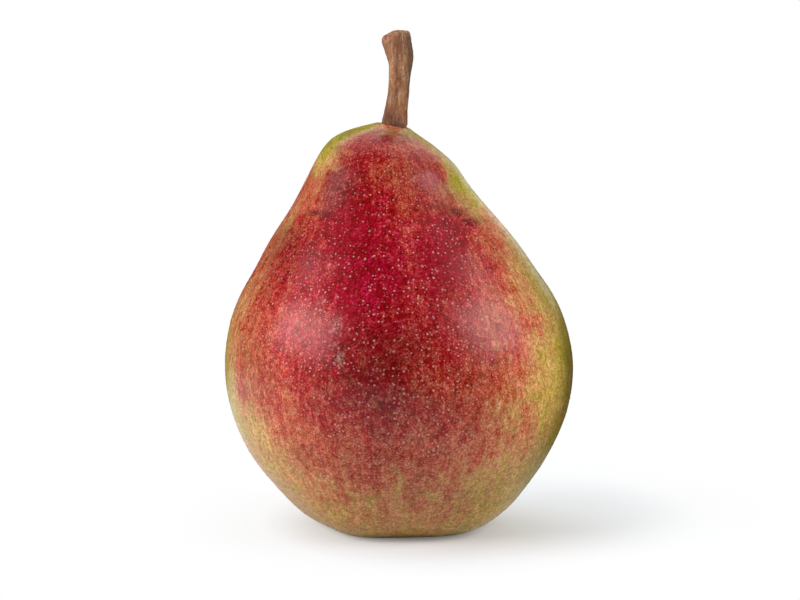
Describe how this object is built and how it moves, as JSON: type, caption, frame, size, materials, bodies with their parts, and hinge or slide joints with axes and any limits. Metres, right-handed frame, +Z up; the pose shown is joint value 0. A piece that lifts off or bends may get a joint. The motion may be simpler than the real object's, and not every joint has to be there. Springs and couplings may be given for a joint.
{
  "type": "pear",
  "caption": "Ripe pear with a broad rounded body, a tapering neck, a short woody stem that leans a little, and a dried calyx in the basin underneath. Stands on its foot.",
  "frame": {"origin": "on the surface the pear stands on, under the middle of its bounding box", "axes": "+Z up along the fruit towards the stem, -Y towards the blushed front, +X to the right of that front"},
  "size_m": [0.0746, 0.0717, 0.1065],
  "materials": {
    "skin": "satin",
    "stem_wood": "matte",
    "dried_calyx": "matte"
  },
  "bodies": {
    "root": {"fruit": "skin", "stem": "stem_wood", "calyx": "dried_calyx"}
  },
  "joints": []
}
